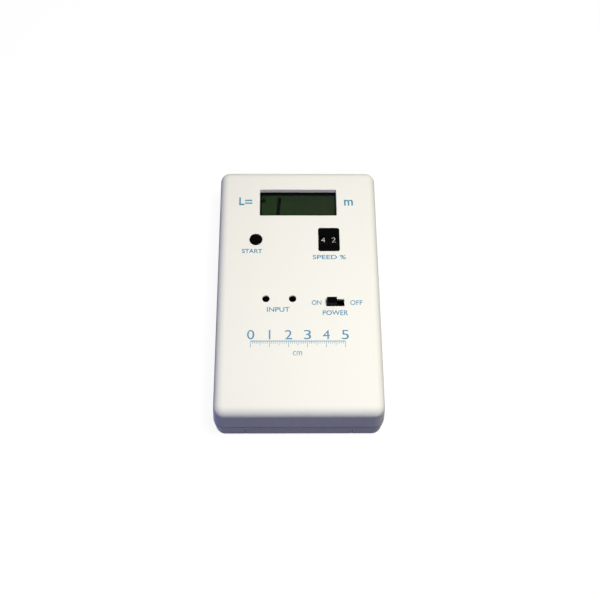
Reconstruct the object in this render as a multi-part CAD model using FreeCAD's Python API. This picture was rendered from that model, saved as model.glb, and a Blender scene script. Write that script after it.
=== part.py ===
import FreeCAD, Part
import math
import os

# Cable length counter: a hand-held instrument in a two-part moulded case.
# Millimetres. Origin at the middle of the base, +Z up, +Y towards the display end.

vector = FreeCAD.Vector
along_x = vector(1, 0, 0)
along_z = vector(0, 0, 1)

# General
overrun = 1.0            # how far a cutting body runs past the face it cuts
touch = 0.001            # how near an edge lies to the height it is picked by
seat_gap = 0.05          # between fixed pieces that are assembled by hand
running_gap = 0.15       # between a sliding piece and its way

# Case
case_width = 90.0
case_length = 150.0
case_height = 30.0
parting_height = 12.0    # where the front shell meets the rear shell
draft_angle = 3.0        # degrees, both shells taper away from the parting
corner_radius = 5.5
face_edge_radius = 5.0
base_edge_radius = 0.5
seam_edge = 0.2          # chamfer of the rear shell along the parting
seam_line_height = 0.35  # shadow line in the foot of the front shell
seam_line_depth = 0.5
wall = 2.5
face_thickness = 3.0
floor_thickness = 2.5
lip_height = 1.6
lip_thickness = 1.1
lip_gap = 0.1
rib_width = 1.2
rib_height = 3.0
rib_inset = 16.0         # floor ribs, from the inside of the long walls

# Case screws
case_screw_inset_x = 7.4
case_screw_inset_y = 9.0
case_screw_radius = 1.45
case_screw_length = 15.0
case_screw_head_radius = 2.75
case_screw_head_height = 2.2
case_column_radius = 4.2
case_boss_radius = 3.5
head_well_gap = 0.35
head_well_depth = 6.0
recess_depth = 1.2
recess_width = 0.8
recess_reach_share = 0.62

# Display window, counted from the display end
window_width = 43.4
window_length = 17.2
window_corner = 0.7
opening_edge = 0.25      # rounding of every opening in the face
window_x = 0.1
window_from_end = 22.4
pane_margin = 2.5
pane_thickness = 1.0

# Liquid crystal display
display_width = 50.8
display_length = 27.0
display_ledge = 2.2      # contact ledge of the rear glass
display_offset = 0.5
glass_thickness = 1.1
polariser_thickness = 0.2
polariser_inset = 0.6
reflector_thickness = 0.3
display_pin_count = 20
display_pin_pitch = 2.54
display_pin_width = 0.5
display_pin_thickness = 0.25
display_pin_jaw = 1.2
display_pin_depth = 3.2
strip_width = 2.5
strip_height = 5.2
strip_hole = 0.8

# Main board
board_thickness = 1.6
board_drop = 11.0        # from the underside of the face to the board
board_edge_gap = 1.9
board_near_gap = 2.2     # from the battery compartment
board_screw_radius = 1.2
board_screw_length = 7.0
board_screw_head_radius = 2.3
board_screw_head_height = 1.5
board_boss_radius = 3.0
board_screw_inset_x = 4.4
board_screw_near = 5.5
board_screw_far = 40.5   # from the display end

# Start button, counted from the display end and the left side
start_from_side = 21.5   # from the left side
start_from_end = 46.6
start_cap_radius = 3.45
start_hole_gap = 0.15
start_proud = 0.45
start_travel = 1.0
start_edge_radius = 0.4
start_flange_radius = 4.7
start_flange_thickness = 1.0
start_stem_radius = 1.6
start_switch_size = 12.0
start_switch_height = 4.4
start_guide_radius = 4.4
start_guide_height = 0.8
start_stem_reach = 1.2   # stem end inside the switch at rest
start_well_gap = 0.4     # left under the pressed stem
spring_wire = 0.5
spring_radius = 2.6
spring_turns = 4
switch_leg = 0.8
switch_leg_inset = 2.0
switch_leg_length = 2.6

# Thumbwheel switch, counted from the display end and the right side
thumb_from_side = 27.93  # from the right side
thumb_from_end = 46.6
thumb_pitch = 5.9
thumb_bezel_width = 11.7
thumb_bezel_length = 14.7
thumb_bezel_corner = 1.2
thumb_bezel_proud = 0.25
wheel_rim_radius = 8.4
wheel_rim_width = 0.8
wheel_rim_proud = 0.6
wheel_drum_radius = 7.15
wheel_drum_width = 2.7
wheel_offset = 0.25      # wheels sit this far to the left in each decade
wheel_bore_gap = 0.08
wheel_notch_count = 20
wheel_notch_radius = 0.42
axle_radius = 1.0
digit_window_width = 2.5
digit_window_length = 4.0
rim_slot_gap = 0.12
housing_wall = 0.8
housing_side = 1.05
housing_gap = 0.3
divider_thickness = 0.4
code_board_thickness = 0.7
detent_thickness = 0.25
detent_width = 1.6
detent_gap = 0.15
detent_well = 1.3

# Cable input sockets, counted from the display end
socket_xs = (-17.6, -3.25)
socket_from_end = 83.4
socket_bore = 2.0        # radius, of the sleeve and of the hole over it in the face
sleeve_wall = 0.75
sleeve_below_board = 5.0
sleeve_floor = 1.0
sleeve_collar = 0.9
sleeve_collar_height = 0.8
socket_body_radius = 4.0

# Power switch, counted from the display end and the right side
power_from_side = 25.22  # from the right side
power_from_end = 85.75
power_slot_width = 9.7
power_slot_length = 4.2
power_travel = 3.0
knob_width = 5.35
knob_length = 3.65
knob_corner = 0.4
knob_proud = 3.6
knob_edge = 0.35
knob_left_gap = 0.3
knob_groove_count = 3
knob_groove = 0.35
slider_width = 7.0
slider_length = 4.4
slider_height = 1.6
power_body_width = 14.0
power_body_length = 6.4
power_body_height = 5.6
power_base_height = 1.6
power_frame_wall = 0.4
power_terminal_pitch = 4.7
power_terminal_width = 0.9
power_terminal_thickness = 0.5
contact_thickness = 0.3
contact_width = 5.6
contact_length = 2.4

# Nine volt block battery and its compartment
battery_length = 46.4
battery_width = 26.5
battery_height = 17.5
battery_corner = 2.0
battery_gap = 0.3
battery_lift = 0.3       # above the door
compartment_wall = 1.2
compartment_end_gap = 0.9
stud_pitch = 12.7
small_stud_radius = 2.9
large_stud_radius = 3.9
stud_height = 2.6
snap_space = 6.0
snap_thickness = 4.2
snap_width = 12.5
snap_length = 25.4
snap_standoff = 0.5
snap_corner = 1.2

# Battery door
door_margin = 1.8        # door past the inside of the compartment, each side
door_gap = 0.4           # beside the door and over its end lip
door_far_margin = 0.5
door_thickness = 2.0
door_lip_height = 8.0
door_lip_thickness = 2.3
door_rail = 1.3
door_rail_height = 0.8
door_rail_lift = 1.0
rail_block = 2.0
ledge_height = 1.5
grip_count = 6
grip_width = 1.0
grip_depth = 0.6
grip_pitch = 2.2
grip_length = 22.0
grip_from_end = 6.0
arrow_width = 7.0
arrow_length = 5.0
arrow_from_end = 21.0    # tip of the arrow that shows the way out

# Battery leads
lead_radius = 0.6
lead_spacing = 2.2
lead_drop = 4.0          # below the middle of the battery
lead_slot_gap = 0.5
lead_arc_share = 0.45

# Components on the board
driver_width = 52.0
driver_length = 13.7
logic_width = 19.6
logic_length = 6.4
chip_height = 3.6
chip_standoff = 0.5
chip_pin_pitch = 2.54
chip_pin_width = 0.5
chip_pin_thickness = 0.3
chip_pin_reach = 0.75
driver_pin_count = 20
logic_pin_count = 7
component_margin = 1.0   # from the edge of the board
crystal_width = 11.0
crystal_length = 4.7
crystal_height = 3.6
electrolytic_radius = 2.5
electrolytic_height = 8.0
ceramic_radius = 2.4
ceramic_thickness = 1.8
resistors_in_group = 4
resistor_radius = 1.15
resistor_length = 6.3
resistor_lead_radius = 0.3
resistor_lead_span = 9.6
resistor_lift = 0.4
trimmer_size = 9.5
trimmer_height = 4.8
trimmer_screw_radius = 1.2

# Worked out from the above
slope = math.tan(math.radians(draft_angle))
far_end = case_length / 2
face_under = case_height - face_thickness
inner_half_width = case_width / 2 - wall
board_top = face_under - board_drop
board_under = board_top - board_thickness
window_y = far_end - window_from_end
display_y = window_y + display_offset
pane_under = face_under - pane_thickness
start_x = start_from_side - case_width / 2
start_y = far_end - start_from_end
thumb_x = case_width / 2 - thumb_from_side
thumb_y = far_end - thumb_from_end
socket_y = far_end - socket_from_end
power_x = case_width / 2 - power_from_side
power_y = far_end - power_from_end
case_screw_x = case_width / 2 - case_screw_inset_x
case_screw_y = case_length / 2 - case_screw_inset_y
column_top = parting_height + lip_height
compartment_half = (battery_length + snap_space + 2 * battery_gap) / 2
compartment_near = -(case_length / 2 - wall - compartment_end_gap - compartment_wall)
compartment_far = compartment_near + battery_width + 2 * battery_gap
battery_under = door_thickness + battery_lift
battery_middle = battery_under + battery_height / 2
battery_y = (compartment_near + compartment_far) / 2
battery_x0 = -compartment_half + battery_gap
battery_x1 = battery_x0 + battery_length
ceiling_under = battery_under + battery_height + battery_gap
door_half = compartment_half + door_margin
door_far = compartment_far + door_far_margin
board_half_width = inner_half_width - board_edge_gap
board_far = case_length / 2 - wall - board_edge_gap
board_near = compartment_far + compartment_wall + board_near_gap
wheel_axis_z = case_height + wheel_rim_proud - wheel_rim_radius
wheel_width = wheel_drum_width + 2 * wheel_rim_width


# Shapes that several pieces share

def block(low, high):
    """A box between two corners."""
    size = [b - a for a, b in zip(low, high)]
    return Part.makeBox(size[0], size[1], size[2], vector(*low))


def plate(x, y, width, length, z0, z1):
    """A box centred on x and y."""
    return block((x - width / 2, y - length / 2, z0), (x + width / 2, y + length / 2, z1))


def pillar(x, y, radius, z0, z1):
    """An upright round bar."""
    return Part.makeCylinder(radius, z1 - z0, vector(x, y, z0), along_z)


def bar(x0, x1, y, z, radius):
    """A round bar along X."""
    return Part.makeCylinder(radius, x1 - x0, vector(x0, y, z), along_x)


def outline(x, y, width, length, radius, z):
    """A closed rectangle with rounded corners, level at z."""
    reach_x = width / 2 - radius
    reach_y = length / 2 - radius
    corners = ((reach_x, reach_y), (-reach_x, reach_y), (-reach_x, -reach_y), (reach_x, -reach_y))
    arcs = []
    for quarter, (dx, dy) in enumerate(corners):
        middle = vector(x + dx, y + dy, z)
        arcs.append(Part.makeCircle(radius, middle, along_z, 90 * quarter, 90 * quarter + 90))
    edges = []
    for arc, following in zip(arcs, arcs[1:] + arcs[:1]):
        edges.append(arc)
        start = arc.valueAt(arc.LastParameter)
        edges.append(Part.makeLine(start, following.valueAt(following.FirstParameter)))
    return Part.Wire(edges)


def rounded(x, y, width, length, radius, z0, z1):
    """An upright block with rounded corners."""
    return Part.Face(outline(x, y, width, length, radius, z0)).extrude(vector(0, 0, z1 - z0))


def fuse(pieces):
    """One solid from pieces that touch or overlap."""
    whole = pieces[0].fuse(list(pieces[1:])) if len(pieces) > 1 else pieces[0]
    return whole.removeSplitter()


def edges_at(shape, z):
    """The edges of a shape that lie level at z."""
    found = []
    for edge in shape.Edges:
        box = edge.BoundBox
        if abs(box.ZMin - z) < touch and abs(box.ZMax - z) < touch:
            found.append(edge)
    return found


def mirrored(x):
    """Both sides of the middle plane."""
    return (-x, x)


# Case shells

def section(z, inset, rise):
    """Outline of the case at height z; rise is 1 above the parting and -1 below it."""
    shrink = rise * (z - parting_height) * slope + inset
    width = case_width - 2 * shrink
    length = case_length - 2 * shrink
    return outline(0, 0, width, length, corner_radius - inset, z)


def case_body(z0, z1, inset, rise):
    """A tapered body between two heights."""
    return Part.makeLoft([section(z0, inset, rise), section(z1, inset, rise)], True, True)


def straight_body(z0, z1, inset):
    """An upright body on the outline of the parting."""
    return Part.Face(section_at_parting(inset, z0)).extrude(vector(0, 0, z1 - z0))


def section_at_parting(inset, z):
    """The outline of the parting, moved to height z."""
    width = case_width - 2 * inset
    length = case_length - 2 * inset
    return outline(0, 0, width, length, corner_radius - inset, z)


def front_outside():
    """Outside of the front shell, over a foot set in for the shadow line."""
    seam_top = parting_height + seam_line_height
    body = case_body(seam_top, case_height, 0, 1)
    body = body.makeFillet(face_edge_radius, edges_at(body, case_height))
    return fuse([body, straight_body(parting_height, seam_top, seam_line_depth)])


def rear_outside():
    """Outside of the rear shell, with a small chamfer along the parting."""
    seam = section(parting_height, seam_edge, -1)
    under = section(parting_height - seam_edge, 0, -1)
    body = Part.makeLoft([seam, under, section(0, 0, -1)], True, True)
    return body.makeFillet(base_edge_radius, edges_at(body, 0))


def case_screw_places():
    return [(x, y) for x in mirrored(case_screw_x) for y in mirrored(case_screw_y)]


def board_screw_places():
    x = board_half_width - board_screw_inset_x
    ys = (board_near + board_screw_near, far_end - board_screw_far)
    return [(side, y) for side in mirrored(x) for y in ys]


def front_shell():
    """Upper half of the case: the face, its openings and the bosses under it."""
    shell = front_outside()
    shell = shell.cut(case_body(parting_height - overrun, face_under, wall, 1))
    rebate_top = parting_height + lip_height + lip_gap
    shell = shell.cut(straight_body(parting_height - overrun, rebate_top, wall - lip_thickness - lip_gap))
    bosses = []
    for x, y in case_screw_places():
        bosses.append(pillar(x, y, case_boss_radius, column_top + seat_gap, face_under + overrun))
    for x, y in board_screw_places():
        bosses.append(pillar(x, y, board_boss_radius, board_top, face_under + overrun))
    shell = shell.fuse(bosses)
    top = case_height + overrun
    cuts = []
    for x, y in case_screw_places():
        bore_top = head_well_depth + case_screw_length + overrun
        cuts.append(pillar(x, y, case_screw_radius + seat_gap, parting_height, bore_top))
    for x, y in board_screw_places():
        bore_top = board_under + board_screw_length + overrun
        cuts.append(pillar(x, y, board_screw_radius + seat_gap, board_under, bore_top))
    low = face_under - overrun
    cuts.append(rounded(window_x, window_y, window_width, window_length, window_corner, low, top))
    cuts.append(pillar(start_x, start_y, start_cap_radius + start_hole_gap, low, top))
    hole_width = thumb_bezel_width + 2 * seat_gap
    hole_length = thumb_bezel_length + 2 * seat_gap
    cuts.append(rounded(thumb_x, thumb_y, hole_width, hole_length, thumb_bezel_corner, low, top))
    for x in socket_xs:
        cuts.append(pillar(x, socket_y, socket_bore, low, top))
    cuts.append(plate(power_x, power_y, power_slot_width, power_slot_length, low, top))
    shell = shell.cut(cuts).removeSplitter()
    return shell.makeFillet(opening_edge, opening_edges(shell))


def opening_edges(shell):
    """Edges around the openings in the face, without the outline of the face."""
    reach = case_length / 2 - face_edge_radius - corner_radius
    side = case_width / 2 - face_edge_radius - corner_radius
    found = []
    for edge in edges_at(shell, case_height):
        middle = edge.BoundBox.Center
        if abs(middle.x) < side and abs(middle.y) < reach and edge.BoundBox.DiagonalLength < side * 2:
            found.append(edge)
    return found


def rail_side(side):
    """The way of the battery door on one side, joined to the floor."""
    inner = side * compartment_half
    outer = side * (door_half + door_gap + rail_block)
    low, high = sorted((inner, outer))
    near = -(case_length / 2 - wall)
    return block((low, near, 0), (high, door_far + rail_block, floor_thickness + ledge_height))


def door_space():
    """What the battery door needs free, with its way out at the near end."""
    half = door_half + door_gap
    near = -case_length / 2 - overrun
    far = door_far + running_gap
    panel = block((-half, near, -overrun), (half, far, door_thickness + running_gap))
    lip_far = -(case_length / 2 - wall)
    lip = block((-half, near, -overrun), (half, lip_far, door_lip_height + door_gap))
    rail_half = door_half + door_rail + running_gap
    rail_low = door_rail_lift - running_gap / 2
    rail_high = door_rail_lift + door_rail_height + running_gap / 2
    rails = block((-rail_half, near, rail_low), (rail_half, far, rail_high))
    return [panel, lip, rails]


def compartment():
    """Walls and ceiling around the battery."""
    out = compartment_half + compartment_wall
    near = compartment_near - compartment_wall
    far = compartment_far + compartment_wall
    low = door_thickness + running_gap
    body = block((-out, near, low), (out, far, ceiling_under + compartment_wall))
    inside_low = (-compartment_half, compartment_near, low - overrun)
    inside_high = (compartment_half, compartment_far, ceiling_under)
    return body.cut(block(inside_low, inside_high))


def rear_shell():
    """Lower half of the case: floor, lip, screw columns and battery compartment."""
    shell = rear_outside()
    shell = shell.cut(case_body(floor_thickness, parting_height + overrun, wall, -1))
    lip_top = parting_height + lip_height
    lip = straight_body(parting_height - overrun, lip_top, wall - lip_thickness)
    lip = lip.cut(straight_body(parting_height - 2 * overrun, lip_top + overrun, wall))
    added = [lip]
    for x, y in case_screw_places():
        added.append(pillar(x, y, case_column_radius, floor_thickness - overrun, column_top))
    for side in (-1, 1):
        added.append(rail_side(side))
        rib_x = side * (inner_half_width - rib_inset)
        rib_low = board_near
        rib_high = case_length / 2 - wall - rib_inset
        low = (rib_x - rib_width / 2, rib_low, floor_thickness - overrun)
        added.append(block(low, (rib_x + rib_width / 2, rib_high, floor_thickness + rib_height)))
    shell = shell.fuse(added)
    shell = shell.cut(door_space())
    hollow_low = (-compartment_half, compartment_near, -overrun)
    hollow_high = (compartment_half, compartment_far, ceiling_under)
    shell = shell.cut(block(hollow_low, hollow_high))
    shell = shell.fuse(compartment())
    cuts = []
    for x, y in case_screw_places():
        well = case_screw_head_radius + head_well_gap
        cuts.append(pillar(x, y, well, -overrun, head_well_depth))
        cuts.append(pillar(x, y, case_screw_radius + 2 * seat_gap, 0, column_top + overrun))
    slot_width = lead_spacing + 2 * lead_radius + 2 * lead_slot_gap
    slot_height = 2 * lead_radius + 2 * lead_slot_gap
    slot_z = battery_middle - lead_drop
    slot_low = (snap_middle() - slot_width / 2, compartment_far - overrun, slot_z - slot_height / 2)
    slot_high = (snap_middle() + slot_width / 2, board_near, slot_z + slot_height / 2)
    cuts.append(block(slot_low, slot_high))
    return shell.cut(cuts).removeSplitter()


def battery_door():
    """Sliding door: a panel with an end lip, side rails and finger grooves."""
    near = -case_length / 2 - overrun
    panel = block((-door_half, near, -overrun), (door_half, door_far, door_thickness))
    lip_far = -(case_length / 2 - door_lip_thickness)
    lip = block((-door_half, near, -overrun), (door_half, lip_far, door_lip_height))
    rail_half = door_half + door_rail
    rail_high = door_rail_lift + door_rail_height
    rails = block((-rail_half, near, door_rail_lift), (rail_half, door_far, rail_high))
    door = panel.fuse([lip, rails]).common(rear_outside())
    grooves = []
    for step in range(grip_count):
        y = -case_length / 2 + grip_from_end + step * grip_pitch
        grooves.append(plate(0, y, grip_length, grip_width, -overrun, grip_depth))
    tip_y = -case_length / 2 + arrow_from_end
    base_y = tip_y + arrow_length
    corners = [(0, tip_y), (arrow_width / 2, base_y), (-arrow_width / 2, base_y), (0, tip_y)]
    arrow = Part.Face(Part.makePolygon([vector(x, y, -overrun) for x, y in corners]))
    grooves.append(arrow.extrude(vector(0, 0, overrun + grip_depth)))
    return door.cut(grooves).removeSplitter()


def cross_recess(x, y, z, reach, depth, direction):
    """A cross cut into a screw head, from its outer face at z."""
    low, high = sorted((z - direction * overrun, z + direction * depth))
    arm = plate(x, y, 2 * reach, recess_width, low, high)
    return arm.fuse(plate(x, y, recess_width, 2 * reach, low, high))


def case_screws():
    """Four screws from the rear, heads deep in their wells."""
    screws = []
    for x, y in case_screw_places():
        head_low = head_well_depth - case_screw_head_height
        head = pillar(x, y, case_screw_head_radius, head_low, head_well_depth)
        head = head.makeFillet(case_screw_head_height / 3, edges_at(head, head_low))
        shank_top = head_well_depth + case_screw_length
        shank = pillar(x, y, case_screw_radius, head_well_depth - touch, shank_top)
        shank = shank.makeChamfer(case_screw_radius / 2, edges_at(shank, shank_top))
        reach = case_screw_head_radius * recess_reach_share
        recess = cross_recess(x, y, head_low, reach, recess_depth, 1)
        screws.append(fuse([head, shank]).cut(recess))
    return screws


# Display

def display_window():
    """Clear pane behind the opening in the face."""
    width = window_width + 2 * pane_margin
    length = window_length + 2 * pane_margin
    return rounded(window_x, window_y, width, length, window_corner, pane_under, face_under)


def display_levels():
    """Heights of the display's layers, from the top down."""
    levels = [pane_under - 4 * seat_gap]
    for thickness in (polariser_thickness, glass_thickness, glass_thickness, reflector_thickness):
        levels.append(levels[-1] - thickness)
    return levels


def display_front_polariser():
    levels = display_levels()
    width = display_width - 2 * polariser_inset
    length = display_length - 2 * display_ledge - 2 * polariser_inset
    return plate(window_x, display_y, width, length, levels[1], levels[0])


def display_front_glass():
    levels = display_levels()
    length = display_length - 2 * display_ledge
    return plate(window_x, display_y, display_width, length, levels[2], levels[1])


def display_rear_glass():
    levels = display_levels()
    return plate(window_x, display_y, display_width, display_length, levels[3], levels[2])


def display_reflector():
    levels = display_levels()
    width = display_width - 2 * polariser_inset
    length = display_length - 2 * display_ledge
    return plate(window_x, display_y, width, length, levels[4], levels[3])


def display_pin_xs():
    first = window_x - (display_pin_count - 1) * display_pin_pitch / 2
    return [first + step * display_pin_pitch for step in range(display_pin_count)]


def display_pins():
    """Clip-on pins along both long edges of the rear glass."""
    levels = display_levels()
    pins = []
    for side in (-1, 1):
        edge = display_y + side * display_length / 2
        out = edge + side * display_pin_thickness
        jaw = edge - side * display_pin_jaw
        foot = board_top + strip_height - display_pin_depth
        for x in display_pin_xs():
            parts = []
            x0 = x - display_pin_width / 2
            x1 = x + display_pin_width / 2
            y0, y1 = sorted((edge, out))
            top = levels[2] + display_pin_thickness
            parts.append(block((x0, y0, foot), (x1, y1, top)))
            y0, y1 = sorted((out, jaw))
            parts.append(block((x0, y0, levels[2]), (x1, y1, top)))
            low = levels[3] - display_pin_thickness
            parts.append(block((x0, y0, low), (x1, y1, levels[3])))
            pins.append(fuse(parts))
    return pins


def display_strips():
    """Socket strips on the board that take the display's pins."""
    strips = []
    for side in (-1, 1):
        y = display_y + side * (display_length + display_pin_thickness) / 2
        top = board_top + strip_height
        width = display_pin_count * display_pin_pitch
        strip = plate(window_x, y, width, strip_width, board_top, top)
        holes = []
        for x in display_pin_xs():
            low = top - display_pin_depth - seat_gap
            holes.append(plate(x, y, strip_hole, strip_hole, low, top + overrun))
        strips.append(strip.cut(holes))
    return strips


# Main board and what is soldered to it

def main_board():
    """The circuit board, cut out for the thumbwheel switch and the case bosses."""
    low = (-board_half_width, board_near, board_under)
    board = block(low, (board_half_width, board_far, board_top))
    cuts = []
    for x in mirrored(case_screw_x):
        gap = case_column_radius + running_gap
        y = case_screw_y
        inner = abs(x) - gap
        x0, x1 = sorted((math.copysign(inner, x), math.copysign(board_half_width + overrun, x)))
        corner = (x0, y - gap, board_under - overrun)
        cuts.append(block(corner, (x1, board_far + overrun, board_top + overrun)))
    for x, y in board_screw_places():
        radius = board_screw_radius + 2 * seat_gap
        cuts.append(pillar(x, y, radius, board_under - overrun, board_top + overrun))
    for x in socket_xs:
        radius = socket_bore + sleeve_wall + seat_gap
        cuts.append(pillar(x, socket_y, radius, board_under - overrun, board_top + overrun))
    width = housing_width() + 2 * housing_gap
    length = housing_length() + 2 * housing_gap
    cuts.append(plate(thumb_x, thumb_y, width, length, board_under - overrun, board_top + overrun))
    return board.cut(cuts)


def board_screws():
    """Four screws that hold the board to the face bosses."""
    screws = []
    for x, y in board_screw_places():
        head_low = board_under - board_screw_head_height
        head = pillar(x, y, board_screw_head_radius, head_low, board_under)
        head = head.makeFillet(board_screw_head_height / 2, edges_at(head, head_low))
        shank = pillar(x, y, board_screw_radius, board_under - touch, board_under + board_screw_length)
        reach = board_screw_head_radius * recess_reach_share
        recess = cross_recess(x, y, head_low, reach, recess_depth * 0.7, 1)
        screws.append(fuse([head, shank]).cut(recess))
    return screws


def driver_places():
    return [(window_x, display_y)]


def logic_places():
    """Middles of the four small chips, in two rows between the start switch and the sockets."""
    left_x = -board_half_width / 2 - logic_width / 4
    middle_y = (start_y - start_switch_size / 2 + socket_y + socket_body_radius) / 2
    ys = [middle_y + share * logic_length for share in (0.75, -0.75)]
    xs = [left_x, left_x + logic_width * 1.25]
    return [(x, y) for y in ys for x in xs]


def chip_body(x, y, width, length):
    """A chip body with chamfered edges and a pin-one notch."""
    low = board_top + chip_standoff
    high = low + chip_height
    body = plate(x, y, width, length, low, high)
    body = body.makeChamfer(chip_pin_width, edges_at(body, high))
    notch = pillar(x - width / 2, y, length / 8, high - chip_pin_width, high + overrun)
    return body.cut(notch)


def display_driver():
    return [chip_body(x, y, driver_width, driver_length) for x, y in driver_places()]


def logic_chips():
    return [chip_body(x, y, logic_width, logic_length) for x, y in logic_places()]


def chip_leg_row(x, y, length, count):
    """Bent legs down both sides of one chip."""
    legs = []
    knee = board_top + chip_standoff + chip_height / 2
    first = x - (count - 1) * chip_pin_pitch / 2
    for side in (-1, 1):
        inner = y + side * length / 2
        outer = inner + side * chip_pin_reach
        y0, y1 = sorted((inner, outer))
        w0, w1 = sorted((outer - side * chip_pin_thickness, outer))
        for step in range(count):
            px = first + step * chip_pin_pitch
            x0 = px - chip_pin_width / 2
            x1 = px + chip_pin_width / 2
            shoulder = block((x0, y0, knee - chip_pin_thickness), (x1, y1, knee))
            shaft = block((x0, w0, board_top), (x1, w1, knee))
            legs.append(fuse([shoulder, shaft]))
    return legs


def chip_legs():
    legs = []
    for x, y in driver_places():
        legs += chip_leg_row(x, y, driver_length, driver_pin_count)
    for x, y in logic_places():
        legs += chip_leg_row(x, y, logic_length, logic_pin_count)
    return legs


def crystal():
    """Quartz crystal in its can, lying beside the display."""
    x = -board_half_width + component_margin + crystal_length / 2
    radius = crystal_length / 2 - touch
    top = board_top + crystal_height
    can = rounded(x, display_y, crystal_length, crystal_width, radius, board_top, top)
    return can.makeFillet(chip_pin_width, edges_at(can, top))


def electrolytic_places():
    x = board_half_width - component_margin - electrolytic_radius
    step = 2.6 * electrolytic_radius
    return [(x, display_y + share * step) for share in (-1.5, -0.5, 0.5)]


def electrolytic_capacitors():
    cans = []
    for x, y in electrolytic_places():
        top = board_top + electrolytic_height
        can = pillar(x, y, electrolytic_radius, board_top, top)
        can = can.makeFillet(electrolytic_radius / 8, edges_at(can, top))
        reach = electrolytic_radius / 2
        cans.append(can.cut(cross_recess(x, y, top, reach, electrolytic_radius / 10, -1)))
    return cans


def ceramic_capacitors():
    """Small disc capacitors beside the logic chips."""
    discs = []
    for x, y in logic_places():
        disc_x = x + logic_width / 2 + ceramic_thickness
        z = board_top + ceramic_radius + chip_standoff
        disc = bar(disc_x - ceramic_thickness / 2, disc_x + ceramic_thickness / 2, y, z, ceramic_radius)
        parts = [disc]
        for side in (-1, 1):
            leg_y = y + side * chip_pin_pitch / 2
            parts.append(pillar(disc_x, leg_y, chip_pin_thickness, board_top, z))
        discs.append(fuse(parts))
    return discs


def resistor_places():
    """Two groups of resistors: above the power switch, and between start switch and thumbwheels."""
    pitch = 3 * resistor_radius
    low_x = board_half_width - component_margin - resistor_lead_radius - resistor_lead_span / 2
    low_y = power_y + power_body_length + component_margin
    high_x = (start_x + thumb_x) / 2
    high_y = start_y - start_switch_size / 2
    places = []
    for step in range(resistors_in_group):
        places.append((low_x, low_y + step * pitch))
        places.append((high_x, high_y + step * pitch))
    return places


def resistors():
    bodies = []
    for x, y in resistor_places():
        z = board_top + resistor_lift + resistor_radius
        body = bar(x - resistor_length / 2, x + resistor_length / 2, y, z, resistor_radius)
        ends = [e for e in body.Edges if e.Length < 2 * math.pi * resistor_radius + touch and e.isClosed()]
        body = body.makeFillet(resistor_radius / 3, ends)
        half = resistor_lead_span / 2
        wire = bar(x - half, x + half, y, z, resistor_lead_radius)
        legs = [pillar(x + side * half, y, resistor_lead_radius, board_top, z) for side in (-1, 1)]
        knees = [Part.makeSphere(resistor_lead_radius, vector(x + side * half, y, z)) for side in (-1, 1)]
        bodies.append(fuse([body, wire] + legs + knees))
    return bodies


def trimmer():
    """Calibration trimmer with its slotted adjuster."""
    x = board_half_width - trimmer_size
    y = start_y - start_switch_size
    top = board_top + trimmer_height
    body = plate(x, y, trimmer_size, trimmer_size, board_top, top)
    body = body.makeChamfer(chip_pin_width, edges_at(body, top))
    screw = pillar(x, y, trimmer_screw_radius, top - touch, top + chip_standoff)
    slot = plate(x, y, 2 * trimmer_screw_radius + overrun, recess_width / 2, top, top + overrun)
    return fuse([body, screw]).cut(slot)


# Start button and its switch

def start_levels():
    """Heights that the cap, the switch and the spring share."""
    switch_top = board_top + start_switch_height
    guide_top = switch_top + start_guide_height
    flange_top = face_under - seat_gap
    flange_low = flange_top - start_flange_thickness
    return switch_top, guide_top, flange_low, flange_top


def start_button():
    """Cap, flange that holds it under the face, and stem."""
    switch_top, guide_top, flange_low, flange_top = start_levels()
    top = case_height + start_proud
    cap = pillar(start_x, start_y, start_cap_radius, flange_low, top)
    cap = cap.makeFillet(start_edge_radius, edges_at(cap, top))
    flange = pillar(start_x, start_y, start_flange_radius, flange_low, flange_top)
    stem = pillar(start_x, start_y, start_stem_radius, switch_top - start_stem_reach, flange_low + touch)
    return fuse([cap, flange, stem])


def start_switch():
    """Switch body on the board, with the well that the stem enters."""
    switch_top, guide_top, flange_low, flange_top = start_levels()
    body = plate(start_x, start_y, start_switch_size, start_switch_size, board_top, switch_top)
    guide = pillar(start_x, start_y, start_guide_radius, switch_top - touch, guide_top)
    body = fuse([body, guide])
    seat = pillar(start_x, start_y, spring_radius + spring_wire, switch_top, guide_top + overrun)
    well_floor = switch_top - start_stem_reach - start_travel - start_well_gap
    well = pillar(start_x, start_y, start_stem_radius + running_gap, well_floor, guide_top + overrun)
    return body.cut([seat, well])


def start_switch_legs():
    """Four solder legs beside the switch body, seated on the board."""
    legs = []
    switch_top = start_levels()[0]
    for side in (-1, 1):
        inner = start_x + side * start_switch_size / 2
        outer = inner + side * chip_pin_thickness
        x0, x1 = sorted((inner, outer))
        for y_side in (-1, 1):
            y = start_y + y_side * (start_switch_size / 2 - switch_leg_inset)
            low = (x0, y - switch_leg / 2, board_top)
            legs.append(block(low, (x1, y + switch_leg / 2, board_top + switch_leg_length)))
    return legs


def arc_between(start, start_way, end):
    """The circular arc from start, leaving along start_way, to end."""
    chord = end - start
    middle_way = (chord.normalize() if chord.Length else along_z)
    chord = end - start
    sine = start_way.cross(middle_way).Length
    radius = chord.Length / (2 * sine)
    normal = start_way.cross(middle_way)
    inward = normal.cross(start_way).normalize()
    centre = start + inward * radius
    middle = (start + end) * 0.5
    outward = (middle - centre).normalize()
    return Part.Arc(start, centre + outward * radius, end).toShape()


def biarc(start, start_way, end, end_way):
    """Two tangent arcs that join two points with given directions."""
    gap = end - start
    along = start_way + end_way
    ways = 2 * (1 - start_way.dot(end_way))
    reach = gap.dot(along)
    share = (-reach + math.sqrt(reach * reach + ways * gap.dot(gap))) / ways
    joint = (start + end + (start_way - end_way) * share) * 0.5
    first = arc_between(start, start_way, joint)
    second = arc_between(end, end_way * -1, joint)
    second_forward = Part.Arc(joint, second.valueAt((second.FirstParameter + second.LastParameter) / 2), end)
    return [first, second_forward.toShape()]


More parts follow.
